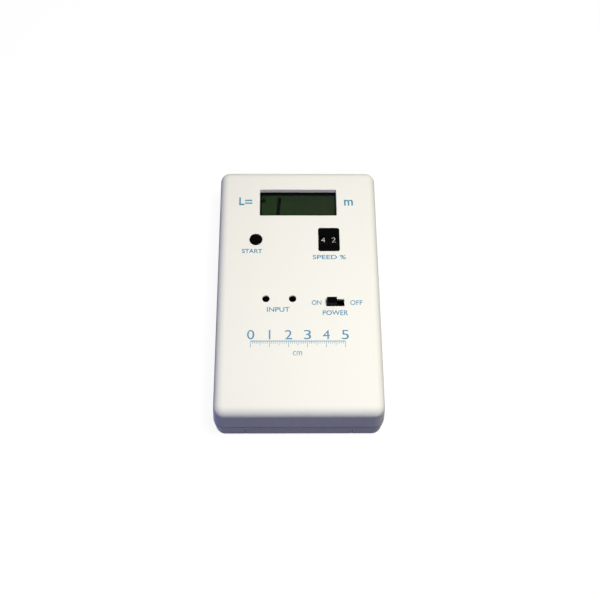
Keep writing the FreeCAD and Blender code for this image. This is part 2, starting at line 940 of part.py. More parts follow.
def start_spring():
    """Return spring: one unbroken coil between the switch and the flange."""
    switch_top, guide_top, flange_low, flange_top = start_levels()
    low = switch_top + spring_wire / 2 + seat_gap
    high = flange_low - spring_wire / 2 - seat_gap
    steps = 4 * spring_turns
    rise = (high - low) / steps
    edges = []

    def point(step):
        angle = math.radians(90 * step)
        x = start_x + spring_radius * math.cos(angle)
        y = start_y + spring_radius * math.sin(angle)
        return vector(x, y, low + rise * step)

    def way(step):
        angle = math.radians(90 * step)
        quarter = spring_radius * math.pi / 2
        return vector(-quarter * math.sin(angle), quarter * math.cos(angle), rise).normalize()

    for step in range(steps):
        edges += biarc(point(step), way(step), point(step + 1), way(step + 1))
    path = Part.Wire(edges)
    ring = Part.Wire([Part.makeCircle(spring_wire / 2, point(0), way(0))])
    return path.makePipeShell([ring], True, False)


# Thumbwheel switch

def housing_width():
    return thumb_bezel_width + 2 * housing_side


def housing_length():
    return 2 * (wheel_rim_radius + housing_gap + housing_wall)


def housing_floor():
    return wheel_axis_z - wheel_rim_radius - detent_well


def decade_middle(decade):
    """Middle of a decade: 0 is the tens, 1 is the units."""
    return thumb_x + (decade - 0.5) * thumb_pitch


def wheel_middle(decade):
    return decade_middle(decade) - wheel_offset


def chamber(decade):
    """Free space for one wheel and its code board, as x from and to."""
    middle = decade_middle(decade)
    return middle - thumb_pitch / 2 + divider_thickness, middle + thumb_pitch / 2


def thumbwheel_housing():
    """Open-topped box with a divider between the two wheels."""
    width = housing_width()
    length = housing_length()
    low = housing_floor() - housing_wall
    top = face_under - seat_gap
    body = plate(thumb_x, thumb_y, width, length, low, top)
    half = housing_length() / 2 - housing_wall
    cuts = []
    for decade in (0, 1):
        x0, x1 = chamber(decade)
        cuts.append(block((x0, thumb_y - half, housing_floor()), (x1, thumb_y + half, top + overrun)))
    x0 = thumb_x - width
    cuts.append(bar(x0, thumb_x + width, thumb_y, wheel_axis_z, axle_radius + seat_gap))
    return body.cut(cuts)


def thumbwheel_bezel():
    """Black frame in the face, with a window and two rim slots for each wheel."""
    low = face_under - seat_gap
    top = case_height + thumb_bezel_proud
    bezel = rounded(thumb_x, thumb_y, thumb_bezel_width, thumb_bezel_length, thumb_bezel_corner, low, top)
    bezel = bezel.makeFillet(thumb_bezel_proud, edges_at(bezel, top))
    cuts = []
    for decade in (0, 1):
        middle = wheel_middle(decade)
        drum_half = wheel_width / 2 + rim_slot_gap
        x0 = middle - drum_half
        x1 = middle + drum_half
        cuts.append(bar(x0, x1, thumb_y, wheel_axis_z, wheel_drum_radius + housing_gap))
        for side in (-1, 1):
            inner = middle + side * (wheel_drum_width / 2 - rim_slot_gap)
            outer = middle + side * drum_half
            x0, x1 = sorted((inner, outer))
            cuts.append(bar(x0, x1, thumb_y, wheel_axis_z, wheel_rim_radius + housing_gap))
        size = (digit_window_width, digit_window_length)
        cuts.append(plate(middle, thumb_y, size[0], size[1], low - overrun, top + overrun))
    return bezel.cut(cuts)


def wheel(decade):
    """Digit drum between two notched rims, bored for the axle."""
    middle = wheel_middle(decade)
    half = wheel_width / 2
    drum = bar(middle - half, middle + half, thumb_y, wheel_axis_z, wheel_drum_radius)
    rims = []
    for side in (-1, 1):
        inner = middle + side * wheel_drum_width / 2
        outer = middle + side * half
        x0, x1 = sorted((inner, outer))
        rims.append(bar(x0, x1, thumb_y, wheel_axis_z, wheel_rim_radius))
    body = fuse([drum] + rims)
    x0 = middle - wheel_width
    x1 = middle + wheel_width
    cuts = [bar(x0, x1, thumb_y, wheel_axis_z, axle_radius + wheel_bore_gap)]
    for notch in range(wheel_notch_count):
        angle = 2 * math.pi * (notch + 0.5) / wheel_notch_count
        y = thumb_y + wheel_rim_radius * math.sin(angle)
        z = wheel_axis_z + wheel_rim_radius * math.cos(angle)
        cuts.append(bar(x0, x1, y, z, wheel_notch_radius))
    return body.cut(cuts)


def tens_wheel():
    return wheel(0)


def units_wheel():
    return wheel(1)


def thumbwheel_axle():
    half = housing_width() / 2
    return bar(thumb_x - half, thumb_x + half, thumb_y, wheel_axis_z, axle_radius)


def code_boards():
    """One small contact board beside each wheel, with a hole for the axle."""
    boards = []
    half = housing_length() / 2 - housing_wall - seat_gap
    for decade in (0, 1):
        x1 = chamber(decade)[1] - seat_gap
        x0 = x1 - code_board_thickness
        top = face_under - 2 * seat_gap
        board = block((x0, thumb_y - half, housing_floor()), (x1, thumb_y + half, top))
        hole = bar(x0 - overrun, x1 + overrun, thumb_y, wheel_axis_z, axle_radius + seat_gap)
        boards.append(board.cut(hole))
    return boards


def detent_springs():
    """A bent leaf under each wheel, its crest just off the notches."""
    leaves = []
    crest = wheel_axis_z - wheel_rim_radius - detent_gap
    floor = housing_floor()
    reach = housing_length() / 2 - housing_wall - 2 * seat_gap
    foot_share = 0.8
    crest_share = 0.2
    for decade in (0, 1):
        x0 = wheel_middle(decade) - detent_width / 2
        profile = (
            (-reach, floor),
            (-reach * foot_share, floor),
            (-reach * crest_share, crest - detent_thickness),
            (reach * crest_share, crest - detent_thickness),
            (reach * foot_share, floor),
            (reach, floor),
            (reach, floor + detent_thickness),
            (reach * foot_share, floor + detent_thickness),
            (reach * crest_share, crest),
            (-reach * crest_share, crest),
            (-reach * foot_share, floor + detent_thickness),
            (-reach, floor + detent_thickness),
        )
        points = [vector(x0, thumb_y + y, z) for y, z in profile]
        face = Part.Face(Part.makePolygon(points + points[:1]))
        leaves.append(face.extrude(vector(detent_width, 0, 0)))
    return leaves


# Cable input sockets

def input_socket_sleeves():
    """Plated sleeves that take the plugs, soldered to the board at a collar."""
    sleeves = []
    outer = socket_bore + sleeve_wall
    low = board_under - sleeve_below_board
    top = face_under - 2 * seat_gap
    for x in socket_xs:
        sleeve = pillar(x, socket_y, outer, low, top)
        collar = pillar(x, socket_y, outer + sleeve_collar, board_under - sleeve_collar_height, board_under)
        bore = pillar(x, socket_y, socket_bore, low + sleeve_floor, top + overrun)
        sleeves.append(fuse([sleeve, collar]).cut(bore))
    return sleeves


def input_socket_bodies():
    """Insulating bodies between the board and the face."""
    bodies = []
    for x in socket_xs:
        body = pillar(x, socket_y, socket_body_radius, board_top, face_under - seat_gap)
        bore = socket_bore + sleeve_wall + seat_gap
        bodies.append(body.cut(pillar(x, socket_y, bore, board_top - overrun, face_under + overrun)))
    return bodies


# Power switch

def power_levels():
    """Heights of the switch: base top and frame top."""
    return board_top + power_base_height, board_top + power_body_height


def knob_rest_x():
    return power_x - power_slot_width / 2 + knob_left_gap + knob_width / 2


def power_switch_frame():
    """Folded metal frame over the base, slotted for the knob."""
    base_top, frame_top = power_levels()
    frame = plate(power_x, power_y, power_body_width, power_body_length, board_top, frame_top)
    inner_width = power_body_width - 2 * power_frame_wall
    inner_length = power_body_length - 2 * power_frame_wall
    inner_top = frame_top - power_frame_wall
    hollow = plate(power_x, power_y, inner_width, inner_length, board_top - overrun, inner_top)
    slot_low = frame_top - power_frame_wall - overrun
    slot_width = knob_width + power_travel + 2 * running_gap
    slot_x = knob_rest_x() + power_travel / 2
    slot_length = knob_length + 2 * running_gap
    slot = plate(slot_x, power_y, slot_width, slot_length, slot_low, frame_top + overrun)
    return frame.cut([hollow, slot])


def power_switch_base():
    """Moulded base that carries the fixed contacts."""
    base_top = power_levels()[0]
    width = power_body_width - 2 * power_frame_wall - 2 * seat_gap
    length = power_body_length - 2 * power_frame_wall - 2 * seat_gap
    base = plate(power_x, power_y, width, length, board_top, base_top)
    cuts = []
    for x in power_terminal_xs():
        slot_width = power_terminal_width + 2 * seat_gap
        slot_length = power_terminal_thickness + 2 * seat_gap
        cuts.append(plate(x, power_y, slot_width, slot_length, board_top - overrun, base_top + overrun))
    return base.cut(cuts)


def power_terminal_xs():
    return [power_x + step * power_terminal_pitch for step in (-1, 0, 1)]


def power_switch_terminals():
    """Three flat terminals through the base."""
    top = power_levels()[0] + contact_thickness / 2
    size = (power_terminal_width, power_terminal_thickness)
    return [plate(x, power_y, size[0], size[1], board_top, top) for x in power_terminal_xs()]


def slider_levels():
    """Underside and top of the slider inside the frame."""
    frame_inside = power_levels()[1] - power_frame_wall
    return frame_inside - running_gap - slider_height, frame_inside - running_gap


def power_switch_knob():
    """Slider and tall knob, at the ON end of the slot."""
    slider_low, slider_top = slider_levels()
    x = knob_rest_x()
    top = case_height + knob_proud
    knob = rounded(x, power_y, knob_width, knob_length, knob_corner, slider_top - touch, top)
    knob = knob.makeChamfer(knob_edge, edges_at(knob, top))
    slider = plate(x, power_y, slider_width, slider_length, slider_low, slider_top)
    grooves = []
    for step in range(knob_groove_count):
        groove_x = x + (step - (knob_groove_count - 1) / 2) * knob_width / (knob_groove_count + 1)
        middle = vector(groove_x, power_y - knob_length, top)
        grooves.append(Part.makeCylinder(knob_groove, 2 * knob_length, middle, vector(0, 1, 0)))
    return fuse([knob, slider]).cut(grooves)


def power_switch_contact():
    """Sprung bridge under the slider that joins two terminals."""
    slider_low = slider_levels()[0]
    x = knob_rest_x()
    bridge_low = power_levels()[0] + contact_thickness
    flat = plate(x, power_y, contact_width, contact_length, slider_low - contact_thickness, slider_low)
    legs = []
    for side in (-1, 1):
        outer = x + side * contact_width / 2
        x0, x1 = sorted((outer, outer - side * contact_thickness))
        low = (x0, power_y - contact_length / 2, bridge_low)
        legs.append(block(low, (x1, power_y + contact_length / 2, slider_low)))
    return fuse([flat] + legs)


# Battery, its snap and leads

def battery():
    low = (battery_x0, compartment_near + battery_gap, battery_under)
    high = (battery_x1, compartment_far - battery_gap, battery_under + battery_height)
    body = block(low, high)
    long_edges = [e for e in body.Edges if abs(e.BoundBox.XLength - battery_length) < touch]
    return body.makeFillet(battery_corner, long_edges)


def stud_places():
    """Small stud nearer the end of the case, large stud nearer the board."""
    return [(battery_y - stud_pitch / 2, small_stud_radius), (battery_y + stud_pitch / 2, large_stud_radius)]


def battery_terminals():
    studs = []
    for y, radius in stud_places():
        stud = bar(battery_x1, battery_x1 + stud_height, y, battery_middle, radius)
        ring = bar(battery_x1 + overrun, battery_x1 + stud_height + overrun, y, battery_middle, radius / 2)
        studs.append(stud.cut(ring))
    return studs


def snap_front():
    return battery_x1 + snap_standoff


def snap_middle():
    return snap_front() + snap_thickness / 2


def battery_snap():
    """Moulded snap over both studs."""
    low = (snap_front(), battery_y - snap_length / 2, battery_middle - snap_width / 2)
    high = (snap_front() + snap_thickness, battery_y + snap_length / 2, battery_middle + snap_width / 2)
    snap = block(low, high)
    edges = [e for e in snap.Edges if abs(e.BoundBox.XLength - snap_thickness) < touch]
    snap = snap.makeFillet(snap_corner, edges)
    cuts = []
    for y, radius in stud_places():
        end = battery_x1 + stud_height + seat_gap
        cuts.append(bar(snap_front() - overrun, end, y, battery_middle, radius + 2 * seat_gap))
    return snap.cut(cuts)


def rounded_path(points):
    """Straight runs joined by tangent arcs, each as large as its runs allow."""
    edges = []
    radii = []
    here = points[0]
    for before, corner, after in zip(points, points[1:], points[2:]):
        back = before - corner
        ahead = after - corner
        turn = math.pi - back.getAngle(ahead)
        shorter = min(back.Length, ahead.Length)
        reach = lead_arc_share * shorter
        radius = reach / math.tan(turn / 2)
        radii.append(radius)
        start = corner + back.normalize() * reach
        end = corner + ahead.normalize() * reach
        inward = (back + ahead).normalize()
        bend = corner + inward * (radius / math.cos(turn / 2) - radius)
        edges.append(Part.LineSegment(here, start).toShape())
        edges.append(Part.Arc(start, bend, end).toShape())
        here = end
    edges.append(Part.LineSegment(here, points[-1]).toShape())
    return Part.Wire(edges), radii


def lead(side):
    """One battery lead from the snap to the underside of the board."""
    x = snap_middle() + side * lead_spacing / 2
    z = battery_middle - lead_drop
    start_y_here = battery_y + snap_length / 2
    climb = board_under - z
    run = board_near - start_y_here
    landing = start_y_here + run * 1.5
    points = [
        vector(x, start_y_here, z),
        vector(x, start_y_here + run * 0.8, z),
        vector(x, landing, z + climb * 0.36),
        vector(x, landing, board_under),
    ]
    path, radii = rounded_path(points)
    ring = Part.Wire([Part.makeCircle(lead_radius, points[0], points[1] - points[0])])
    tube = path.makePipeShell([ring], True, False)
    expected = math.pi * lead_radius ** 2 * path.Length
    print("lead radii", [round(r, 2) for r in radii], "volume share", round(tube.Volume / expected, 4))
    return tube


def battery_lead_red():
    return lead(1)


def battery_lead_black():
    return lead(-1)


pieces = (
    front_shell,
    rear_shell,
    battery_door,
    case_screws,
    display_window,
    display_front_polariser,
    display_front_glass,
    display_rear_glass,
    display_reflector,
    display_pins,
    display_strips,
    main_board,
    board_screws,
    display_driver,
    logic_chips,
    chip_legs,
    crystal,
    electrolytic_capacitors,
    ceramic_capacitors,
    resistors,
    trimmer,
    start_button,
    start_switch,
    start_switch_legs,
    start_spring,
    thumbwheel_bezel,
    thumbwheel_housing,
    tens_wheel,
    units_wheel,
    thumbwheel_axle,
    code_boards,
    detent_springs,
    input_socket_sleeves,
    input_socket_bodies,
    power_switch_frame,
    power_switch_base,
    power_switch_terminals,
    power_switch_knob,
    power_switch_contact,
    battery,
    battery_terminals,
    battery_snap,
    battery_lead_red,
    battery_lead_black,
)

os.makedirs("parts", exist_ok=True)
for piece in pieces:
    made = piece()
    shape = Part.makeCompound(made) if isinstance(made, list) else made
    print(piece.__name__, len(shape.Solids), shape.isValid(), round(shape.Volume, 1))
    shape.exportStep("parts/" + piece.__name__ + ".step")
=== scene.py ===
import math

import bmesh
import bpy
from mathutils import Matrix, Vector


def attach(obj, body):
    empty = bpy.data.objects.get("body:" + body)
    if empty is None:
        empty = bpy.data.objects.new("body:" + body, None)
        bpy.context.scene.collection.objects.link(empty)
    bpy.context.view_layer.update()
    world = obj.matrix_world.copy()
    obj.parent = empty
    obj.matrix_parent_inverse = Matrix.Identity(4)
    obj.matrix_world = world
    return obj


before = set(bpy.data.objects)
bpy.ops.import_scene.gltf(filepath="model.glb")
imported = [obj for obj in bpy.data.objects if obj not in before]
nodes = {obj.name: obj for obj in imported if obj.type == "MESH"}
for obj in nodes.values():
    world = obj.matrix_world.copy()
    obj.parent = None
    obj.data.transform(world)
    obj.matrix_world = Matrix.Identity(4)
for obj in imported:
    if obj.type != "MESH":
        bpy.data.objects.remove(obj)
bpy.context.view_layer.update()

mm = 0.001

# Heights and places of the part, in millimetres
face_top = 30.0
display_top = 25.8
pane_under = 26.0
wheel_axis = (28.4, 22.2)
drum_radius = 7.15
wheel_middles = {"tens_wheel": 13.87, "units_wheel": 19.77}
shown_digits = {"tens_wheel": 4, "units_wheel": 2}

# Thickness of printed ink, and how far it stands over its ground
ink = 0.02
ink_lift = 0.005


# Colours and materials

def srgb(red, green, blue):
    """A colour given in the 0 to 255 values of a picture, as the linear colour a shader takes."""
    linear = []
    for value in (red, green, blue):
        share = value / 255
        linear.append(share / 12.92 if share <= 0.04045 else ((share + 0.055) / 1.055) ** 2.4)
    return (*linear, 1.0)


def tinted(colour, factor):
    """The same colour, lighter or darker."""
    return (*[min(1.0, value * factor) for value in colour[:3]], 1.0)


def feed(tree, socket, value):
    """Links an output to a socket, or sets the socket to a plain value."""
    if isinstance(value, bpy.types.NodeSocket):
        tree.links.new(value, socket)
    else:
        socket.default_value = value


def math_node(tree, operation, first, second=0.0):
    made = tree.nodes.new("ShaderNodeMath")
    made.operation = operation
    feed(tree, made.inputs[0], first)
    feed(tree, made.inputs[1], second)
    return made.outputs[0]


class Finish:
    """A material while it is made: patterns in the space of the part that lead to one surface."""

    def __init__(self, name):
        self.material = bpy.data.materials.new(name)
        self.material.use_nodes = True
        self.tree = self.material.node_tree
        self.surface = self.tree.nodes["Principled BSDF"]
        self.place = self.node("ShaderNodeTexCoord", {}).outputs["Object"]

    def node(self, kind, inputs, **settings):
        made = self.tree.nodes.new(kind)
        for setting, value in settings.items():
            setattr(made, setting, value)
        for socket, value in inputs.items():
            feed(self.tree, made.inputs[socket], value)
        return made

    def stretched(self, scale):
        """The part's space, stretched along its axes."""
        return self.node("ShaderNodeMapping", {"Vector": self.place, "Scale": scale}).outputs[0]

    def noise(self, scale, detail=2.0, place=None):
        inputs = {"Vector": place or self.place, "Scale": scale, "Detail": detail}
        return self.node("ShaderNodeTexNoise", inputs).outputs["Fac"]

    def between(self, factor, low, high, start=0.0, end=1.0):
        """A number that goes from low to high as the factor goes from start to end."""
        inputs = {"Value": factor, "From Min": start, "From Max": end, "To Min": low, "To Max": high}
        return self.node("ShaderNodeMapRange", inputs).outputs[0]

    def mixed(self, factor, first, second):
        made = self.node("ShaderNodeMix", {}, data_type="RGBA")
        for number, value in ((0, factor), (6, first), (7, second)):
            feed(self.tree, made.inputs[number], value)
        return made.outputs[2]

    def math(self, operation, first, second=0.0):
        return math_node(self.tree, operation, first, second)

    def off_centre(self, name, middle):
        """How far a point lies from a plane across the axis."""
        return self.math("ABSOLUTE", self.math("SUBTRACT", self.axis(name), middle))

    def axis(self, name):
        return self.node("ShaderNodeSeparateXYZ", {"Vector": self.place}).outputs[name]

    def relief(self, height, depth, strength=1.0):
        """Bumps of a real depth in metres."""
        inputs = {"Height": height, "Distance": depth, "Strength": strength}
        feed(self.tree, self.surface.inputs["Normal"], self.node("ShaderNodeBump", inputs).outputs[0])

    def give(self, **sockets):
        """Sets the surface, and hands over the finished material."""
        names = {"colour": "Base Color", "roughness": "Roughness", "metallic": "Metallic", "alpha": "Alpha",
                 "coat": "Coat Weight", "specular": "Specular IOR Level"}
        for word, value in sockets.items():
            feed(self.tree, self.surface.inputs[names[word]], value)
        return self.material


def case_finish():
    """Off-white moulded case with a fine spark texture, slight soiling along the outer edges, and a painted
    shade line along the parting seam.
    """
    side_band, end_band, band_width = 0.041, 0.071, 0.004
    seam_height, seam_core, seam_edge = 0.01195, 0.00012, 0.00034
    finish = Finish("case_plastic")
    ground = srgb(239, 238, 230)
    drift = finish.noise(22, 3.0)
    colour = finish.mixed(drift, tinted(ground, 0.985), tinted(ground, 1.012))
    fine = finish.noise(2600, 2.0)
    colour = finish.mixed(finish.between(fine, 0.0, 0.05), colour, tinted(ground, 0.8))
    sides = finish.math("SUBTRACT", finish.off_centre("X", 0.0), side_band)
    ends = finish.math("SUBTRACT", finish.off_centre("Y", 0.0), end_band)
    handled = finish.between(finish.math("MAXIMUM", sides, ends), 0.0, 1.0, 0.0, band_width)
    blotches = finish.between(finish.noise(160, 4.0), 0.0, 1.0, 0.45, 0.8)
    soiled = finish.math("MULTIPLY", handled, blotches)
    colour = finish.mixed(finish.math("MULTIPLY", soiled, 0.35), colour, srgb(214, 211, 202))
    # Painted shade: a dark line at the height of the parting seam stands in for the shade in the gap
    # between the two shells.
    painted_seam_shade = finish.between(finish.off_centre("Z", seam_height), 0.82, 0.0, seam_core, seam_edge)
    colour = finish.mixed(painted_seam_shade, colour, srgb(92, 90, 86))
    finish.relief(fine, 0.00003, 0.35)
    rough = finish.between(finish.noise(900, 2.0), 0.48, 0.58)
    return finish.give(colour=colour, roughness=rough, specular=0.12)


def pane_finish():
    """Clear acrylic, nearly all of whose light passes, with a few hair scratches."""
    finish = Finish("clear_acrylic")
    across = finish.stretched((30.0, 2600.0, 1.0))
    hair = finish.between(finish.noise(1.0, 1.0, across), 0.0, 1.0, 0.70, 0.78)
    rough = finish.between(hair, 0.03, 0.25)
    alpha = finish.between(hair, 0.012, 0.03)
    finish.relief(finish.noise(120, 1.0), 0.00002, 0.2)
    return finish.give(colour=srgb(44, 50, 46), roughness=rough, alpha=alpha, specular=0.5)


def film_finish(name, shade=1.0):
    """Dark olive polariser of the display, a little browner to the right."""
    finish = Finish(name)
    left_end, right_end = -0.022, 0.024
    sideways = finish.between(finish.axis("X"), 0.0, 1.0, left_end, right_end)
    patchy = finish.between(finish.noise(55, 2.0), -0.2, 0.2, 0.3, 0.7)
    factor = finish.math("ADD", sideways, patchy)
    colour = finish.mixed(factor, tinted(srgb(29, 49, 26), shade), tinted(srgb(38, 47, 32), shade))
    grain = finish.noise(3200, 1.0)
    colour = finish.mixed(finish.between(grain, 0.0, 0.10), colour, srgb(62, 80, 54))
    rough = finish.between(grain, 0.34, 0.46)
    finish.relief(grain, 0.00001, 0.3)
    return finish.give(colour=colour, roughness=rough, specular=0.03)


def glass_finish():
    """Thin display glass with a faint green edge."""
    finish = Finish("display_glass")
    cloud = finish.noise(90, 2.0)
    colour = finish.mixed(cloud, srgb(200, 216, 206), srgb(216, 226, 218))
    rough = finish.between(cloud, 0.04, 0.12)
    return finish.give(colour=colour, roughness=rough, alpha=0.35)


def moulded(name, colour, rough, grain=1500, depth=0.00002, gloss=0.5, spots=0.35):
    """Moulded plastic: slow drift of colour, fine grain, faint scuffs."""
    finish = Finish(name)
    drift = finish.noise(110, 3.0)
    shades = finish.mixed(drift, tinted(colour, 0.85), tinted(colour, 1.15))
    scuffs = finish.between(finish.noise(420, 5.0), 0.0, spots, 0.62, 0.85)
    lighter = tuple(min(1.0, value * 1.6 + 0.012) for value in colour[:3]) + (1.0,)
    shades = finish.mixed(scuffs, shades, lighter)
    fine = finish.noise(grain, 2.0)
    finish.relief(fine, depth, 0.5)
    shine = finish.between(fine, rough - 0.07, rough + 0.07)
    return finish.give(colour=shades, roughness=shine, specular=gloss)


def plated(name, colour, rough, stretch=(1.0, 1.0, 1.0), scale=1800, tarnish=0.5):
    """Metal with fine drawn lines and duller patches."""
    finish = Finish(name)
    lines = finish.noise(scale, 2.0, finish.stretched(stretch))
    patches = finish.between(finish.noise(300, 4.0), 0.0, tarnish, 0.5, 0.85)
    shades = finish.mixed(patches, colour, tinted(colour, 0.6))
    drawn = finish.between(lines, rough - 0.06, rough + 0.08)
    shine = finish.math("ADD", drawn, finish.math("MULTIPLY", patches, 0.2))
    finish.relief(lines, 0.00001, 0.4)
    return finish.give(colour=shades, roughness=shine, metallic=1.0)


def board_finish():
    """Green solder mask over copper tracks that run along and across the board."""
    pitch, half_track = 0.00254, 0.14
    finish = Finish("board_laminate")
    mask = srgb(28, 92, 48)
    wander = finish.noise(38, 0.0, finish.stretched((1.0, 4.0, 1.0)))
    groups = []
    for axis, low, high, start, end in (("Y", 0.0, 1.0, 0.52, 0.55), ("X", 1.0, 0.0, 0.42, 0.45)):
        steps = finish.math("FRACT", finish.math("MULTIPLY", finish.axis(axis), 1 / pitch))
        from_middle = finish.math("ABSOLUTE", finish.math("SUBTRACT", steps, 0.5))
        line = finish.math("LESS_THAN", from_middle, half_track)
        groups.append(finish.math("MULTIPLY", line, finish.between(wander, low, high, start, end)))
    tracks = finish.math("MAXIMUM", *groups)
    weave = finish.noise(900, 2.0)
    ground = finish.mixed(weave, tinted(mask, 0.9), tinted(mask, 1.1))
    colour = finish.mixed(tracks, ground, srgb(58, 128, 62))
    finish.relief(finish.math("ADD", tracks, finish.math("MULTIPLY", weave, 0.2)), 0.00003, 0.6)
    return finish.give(colour=colour, roughness=finish.between(weave, 0.28, 0.4), coat=0.3)


def jacket_finish():
    """Printed steel jacket of the battery: slate, with a pale grey band at the terminal end."""
    band_start = 0.0075
    finish = Finish("battery_jacket")
    band = finish.math("GREATER_THAN", finish.axis("X"), band_start)
    rub = finish.between(finish.noise(260, 5.0), 0.0, 0.5, 0.55, 0.85)
    dark = finish.mixed(rub, srgb(46, 62, 74), srgb(98, 106, 112))
    pale = finish.mixed(rub, srgb(168, 172, 172), srgb(138, 142, 142))
    lines = finish.noise(1.0, 2.0, finish.stretched((2600.0, 60.0, 60.0)))
    finish.relief(lines, 0.00001, 0.3)
    colour = finish.mixed(band, dark, pale)
    return finish.give(colour=colour, roughness=finish.between(lines, 0.24, 0.36), metallic=0.7, coat=0.4)


def ink_finish(name, colour, rough=0.5, gloss=0.3):
    """Screen printed ink: slightly uneven cover with a fine grain."""
    finish = Finish(name)
    cover = finish.noise(700, 4.0)
    shades = finish.mixed(cover, tinted(colour, 0.93), tinted(colour, 1.07))
    fine = finish.noise(3500, 1.0)
    finish.relief(fine, 0.00001, 0.3)
    shine = finish.between(fine, rough - 0.06, rough + 0.06)
    return finish.give(colour=shades, roughness=shine, specular=gloss)


def slot_materials():
    """One material for each slot of the record."""
    return {
        "case_plastic": case_finish(),
        "clear_acrylic": pane_finish(),
        "display_film": film_finish("display_film"),
        "display_glass": glass_finish(),
        "reflector_film": moulded("reflector_film", srgb(118, 124, 104), 0.4, 2500),
        "black_plastic": moulded("black_plastic", srgb(4, 4, 5), 0.3, gloss=0.02, spots=0.03),
        "button_plastic": moulded("button_plastic", srgb(4, 4, 4), 0.38, gloss=0.015, spots=0.03),
        "wheel_plastic": moulded("wheel_plastic", srgb(4, 4, 5), 0.34, gloss=0.015, spots=0.03),
        "strip_plastic": moulded("strip_plastic", srgb(20, 20, 21), 0.5),
        "board_laminate": board_finish(),
        "thin_laminate": moulded("thin_laminate", srgb(172, 150, 92), 0.5, 800),
        "chip_plastic": moulded("chip_plastic", srgb(26, 26, 27), 0.6, 2200, 0.00003),
        "tinned_metal": plated("tinned_metal", srgb(206, 207, 208), 0.32),
        "zinc_steel": plated("zinc_steel", srgb(196, 198, 201), 0.34, (1.0, 1.0, 6.0)),
        "blackened_steel": plated("blackened_steel", srgb(30, 30, 32), 0.42, (1.0, 1.0, 5.0)),
        "spring_steel": plated("spring_steel", srgb(176, 177, 180), 0.28, (1.0, 1.0, 4.0)),
        "brass_plate": plated("brass_plate", srgb(78, 69, 52), 0.36, (1.0, 1.0, 5.0)),
        "crystal_can": plated("crystal_can", srgb(200, 201, 203), 0.30, (8.0, 1.0, 1.0)),
        "capacitor_sleeve": moulded("capacitor_sleeve", srgb(28, 42, 92), 0.35, 900),
        "ceramic_disc": moulded("ceramic_disc", srgb(196, 122, 50), 0.42, 700, 0.00005),
        "resistor_body": moulded("resistor_body", srgb(214, 190, 146), 0.35, 900, 0.00004),
        "trimmer_body": moulded("trimmer_body", srgb(34, 78, 168), 0.38, 1100),
        "phenolic_base": moulded("phenolic_base", srgb(112, 68, 38), 0.5, 600, 0.00004),
        "battery_jacket": jacket_finish(),
        "snap_vinyl": moulded("snap_vinyl", srgb(22, 22, 23), 0.55, 500, 0.00006),
        "red_insulation": moulded("red_insulation", srgb(186, 30, 28), 0.4, 900),
        "black_insulation": moulded("black_insulation", srgb(16, 16, 17), 0.4, 900),
    }


def dress_nodes(materials):
    """Gives each node of the part the material of its slot."""
    for node in nodes.values():
        for holder in node.material_slots:
            slot = holder.material.name.split(".")[0]
            holder.material = materials[slot]


# Printed words, digits and marks

def mesh_object(name, mesh, material):
    """An object at the origin with this mesh and one material."""
    piece = bpy.data.objects.new(name, mesh)
    bpy.context.scene.collection.objects.link(piece)
    mesh.materials.clear()
    mesh.materials.append(material)
    return piece


def settled(name, mesh, material, body):
    """A finished piece that rides on a body of the part."""
    piece = mesh_object(name, mesh, material)
    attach(piece, body)
    return piece


def word_mesh(words, weight=0.0):
    """Flat letters with their lower left corner at the origin, and their size."""
    curve = bpy.data.curves.new("letters", "FONT")
    curve.body = words
    curve.offset = weight
    curve.extrude = 0.5
    curve.resolution_u = 5
    holder = bpy.data.objects.new("letters", curve)
    bpy.context.scene.collection.objects.link(holder)
    graph = bpy.context.evaluated_depsgraph_get()
    mesh = bpy.data.meshes.new_from_object(holder.evaluated_get(graph))
    bpy.data.objects.remove(holder)
    bpy.data.curves.remove(curve)
    low, high = mesh_corners(mesh)
    mesh.transform(Matrix.Translation((-low.x, -low.y, -low.z)))
    size = high - low
    return mesh, size


def mesh_corners(mesh):
    """The lowest and the highest corner of the box around a mesh."""
    points = [vertex.co for vertex in mesh.vertices]
    low = Vector([min(point[axis] for point in points) for axis in range(3)])
    high = Vector([max(point[axis] for point in points) for axis in range(3)])
    return low, high


def fitted_words(words, box, z, weight=0.0):
    """Letters that fill the box x0, y0, x1, y1 in millimetres, printed at height z."""
    mesh, size = word_mesh(words, weight)
    x0, y0, x1, y1 = box
    grow = Matrix.Diagonal(((x1 - x0) / size.x * mm, (y1 - y0) / size.y * mm, ink / size.z * mm, 1.0))
    mesh.transform(Matrix.Translation((x0 * mm, y0 * mm, (z + ink_lift) * mm)) @ grow)
    return mesh


def prism_into(work, outline, z0, z1):
    """Adds an upright block on an outline of points in millimetres, given anticlockwise."""
    lower = [work.verts.new((x * mm, y * mm, z0 * mm)) for x, y in outline]
    upper = [work.verts.new((x * mm, y * mm, z1 * mm)) for x, y in outline]
    work.faces.new(lower[::-1])
    work.faces.new(upper)
    for index, corner in enumerate(lower):
        after = (index + 1) % len(lower)
        work.faces.new((corner, lower[after], upper[after], upper[index]))


def prisms(outlines, z0, z1):
    """One mesh of upright blocks."""
    work = bmesh.new()
    for outline in outlines:
        prism_into(work, outline, z0, z1)
    mesh = bpy.data.meshes.new("prisms")
    work.to_mesh(mesh)
    work.free()
    return mesh


def rectangle(x0, y0, x1, y1):
    return [(x0, y0), (x1, y0), (x1, y1), (x0, y1)]


